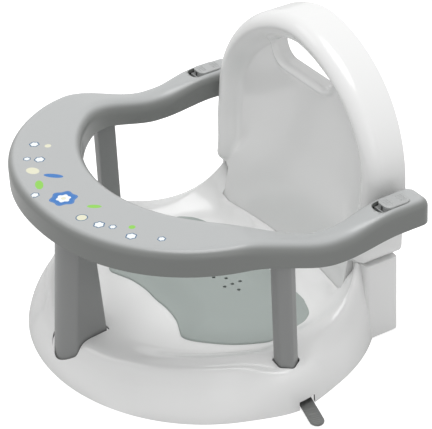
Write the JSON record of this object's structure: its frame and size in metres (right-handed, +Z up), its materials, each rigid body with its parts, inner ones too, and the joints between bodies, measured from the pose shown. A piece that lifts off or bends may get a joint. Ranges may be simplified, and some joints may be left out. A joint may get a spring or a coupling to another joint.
{
  "type": "baby bath seat",
  "caption": "Baby bath seat: domed base with suction cups, high backrest with a handle hole, and a guard ring on posts that lifts off when its arm latches slide.",
  "frame": {"origin": "middle of the seat's footprint, tabs included, on the floor it stands on", "axes": "+Z up; -Y towards the front, where the tray is; +Y towards the backrest; X across the seat"},
  "size_m": [0.3758, 0.2819, 0.2497],
  "materials": {
    "white_plastic": "glossy white",
    "grey_plastic": "satin light grey",
    "post_plastic": "satin mid grey",
    "pad_rubber": "soft matt grey-green",
    "cup_rubber": "matt dark grey",
    "steel": "plain"
  },
  "bodies": {
    "seat": {"base_shell": "white_plastic", "backrest": "white_plastic", "guard_ring": "grey_plastic", "latch_cover_right": "grey_plastic", "latch_cover_left": "grey_plastic", "front_post": "post_plastic", "side_post_right": "post_plastic", "side_post_left": "post_plastic", "seat_pad": "pad_rubber", "suction_cup_side_right": "cup_rubber", "suction_cup_side_left": "cup_rubber", "suction_cup_rear_right": "cup_rubber", "suction_cup_rear_left": "cup_rubber", "latch_spring_right": "steel", "latch_spring_left": "steel", "cover_screw_front_right": "steel", "cover_screw_front_left": "steel", "cover_screw_rear_right": "steel", "cover_screw_rear_left": "steel"},
    "latch_right": {"latch_slider_right": "grey_plastic"},
    "latch_left": {"latch_slider_left": "grey_plastic"}
  },
  "joints": [
    {"name": "latch_slide_right", "type": "slide", "parent": "seat", "child": "latch_right", "axis": [0, -1, 0], "range_m": [0, 0.006], "stiffness_N_per_m": 400, "springref_m": -0.008, "deforming": ["latch_spring_right"]},
    {"name": "latch_slide_left", "type": "slide", "parent": "seat", "child": "latch_left", "axis": [0, -1, 0], "range_m": [0, 0.006], "stiffness_N_per_m": 400, "springref_m": -0.008, "deforming": ["latch_spring_left"]}
  ]
}
